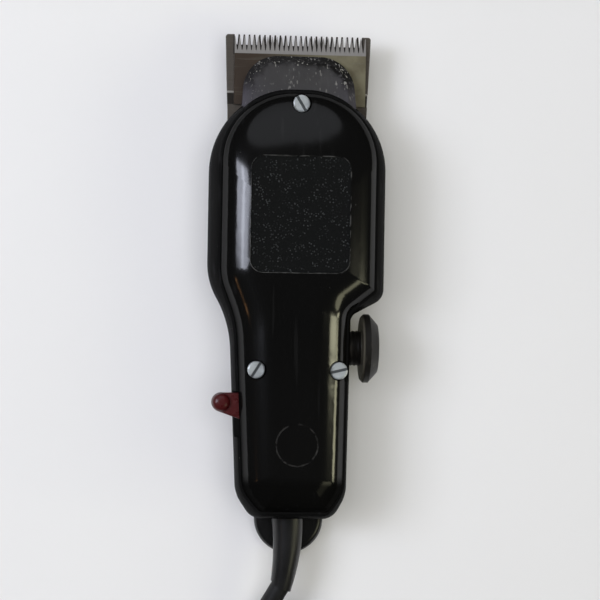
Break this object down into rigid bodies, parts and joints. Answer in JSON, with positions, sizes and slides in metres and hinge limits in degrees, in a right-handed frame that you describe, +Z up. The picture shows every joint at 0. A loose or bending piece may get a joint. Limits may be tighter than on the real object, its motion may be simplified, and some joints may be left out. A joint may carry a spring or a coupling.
{
  "type": "hair clipper",
  "caption": "Corded magnetic hair clipper with a domed cover, toothed blades, a nose hood, a power regulator knob, a side switch lever and a coiled cord with a plug.",
  "frame": {"origin": "under the middle of the clipper's bounding box without the cord, on the surface that it lies on", "axes": "+Y along the clipper towards the blade, +X towards the power knob, +Z up through the domed cover"},
  "size_m": [0.0912, 0.2729, 0.0372],
  "materials": {
    "housing_plastic": "glossy, slightly worn",
    "cover_plastic": "glossy",
    "screw_steel": "zinc plated, satin",
    "hood_plastic": "dull, scuffed",
    "comb_steel": "ground, slightly dull",
    "cutter_steel": "ground, bright at the bevel",
    "guide_plastic": "moulded",
    "mechanism_steel": "plain",
    "spring_steel": "plain",
    "core_steel": "laminated, plain",
    "bobbin_plastic": "moulded",
    "winding_copper": "enamelled wire",
    "contact_brass": "plain",
    "knob_plastic": "worn gloss",
    "lever_plastic": "glossy maroon",
    "base_plastic": "moulded",
    "wire_rubber": "insulated",
    "cord_rubber": "matt",
    "tie_plastic": "matt",
    "prong_brass": "plain"
  },
  "bodies": {
    "housing": {"lower_housing": "housing_plastic", "top_cover": "cover_plastic", "cover_screws": "screw_steel", "nose_hood": "hood_plastic", "fixed_blade": "comb_steel", "blade_screws": "screw_steel", "pivot_pin": "mechanism_steel", "pivot_washer": "mechanism_steel", "return_springs": "spring_steel", "stator_core": "core_steel", "coil_bobbin": "bobbin_plastic", "coil_winding": "winding_copper", "core_screws": "screw_steel", "regulator_bush": "contact_brass", "switch_pivot_pin": "mechanism_steel", "switch_contacts": "contact_brass", "switch_base": "base_plastic", "lead_wires": "wire_rubber", "strain_relief": "cord_rubber", "cord_lead": "cord_rubber", "cord_coil": "cord_rubber", "cord_tie": "tie_plastic", "plug_body": "cord_rubber", "plug_prongs": "prong_brass"},
    "arm": {"drive_arm": "mechanism_steel", "armature_stack": "core_steel", "armature_rivets": "mechanism_steel", "tension_spring": "spring_steel", "tension_screw": "screw_steel"},
    "cutter": {"moving_blade": "cutter_steel", "blade_guide": "guide_plastic"},
    "regulator": {"regulator_tip": "contact_brass"},
    "knob": {"power_knob": "knob_plastic"},
    "lever": {"switch_lever": "lever_plastic", "contact_bridge": "contact_brass"}
  },
  "joints": [
    {"name": "arm_swing", "type": "hinge", "parent": "housing", "child": "arm", "pos_m": [0.004, -0.008, 0.02], "axis": [0, 0, 1], "range_deg": [-0.56, 1.51], "stiffness_Nm_per_rad": 8},
    {"name": "blade_slide", "type": "slide", "parent": "housing", "child": "cutter", "axis": [1, 0, 0], "range_m": [-0.0019, 0.0007]},
    {"name": "regulator_slide", "type": "slide", "parent": "housing", "child": "regulator", "axis": [-1, 0, 0], "range_m": [-0.00125, 0.00125]},
    {"name": "knob_turn", "type": "hinge", "parent": "regulator", "child": "knob", "pos_m": [0.0239, -0.0165, 0.0188], "axis": [-1, 0, 0], "range_deg": [-360.1, 360.1]},
    {"name": "switch_throw", "type": "hinge", "parent": "housing", "child": "lever", "pos_m": [-0.009, -0.0365, 0.025], "axis": [0, 0, 1], "range_deg": [0, 28]}
  ],
  "couplings": [
    {"joint": "blade_slide", "follows": "arm_swing", "m_per_rad": -0.0719},
    {"joint": "knob_turn", "follows": "regulator_slide", "rad_per_m": 5026.5}
  ]
}
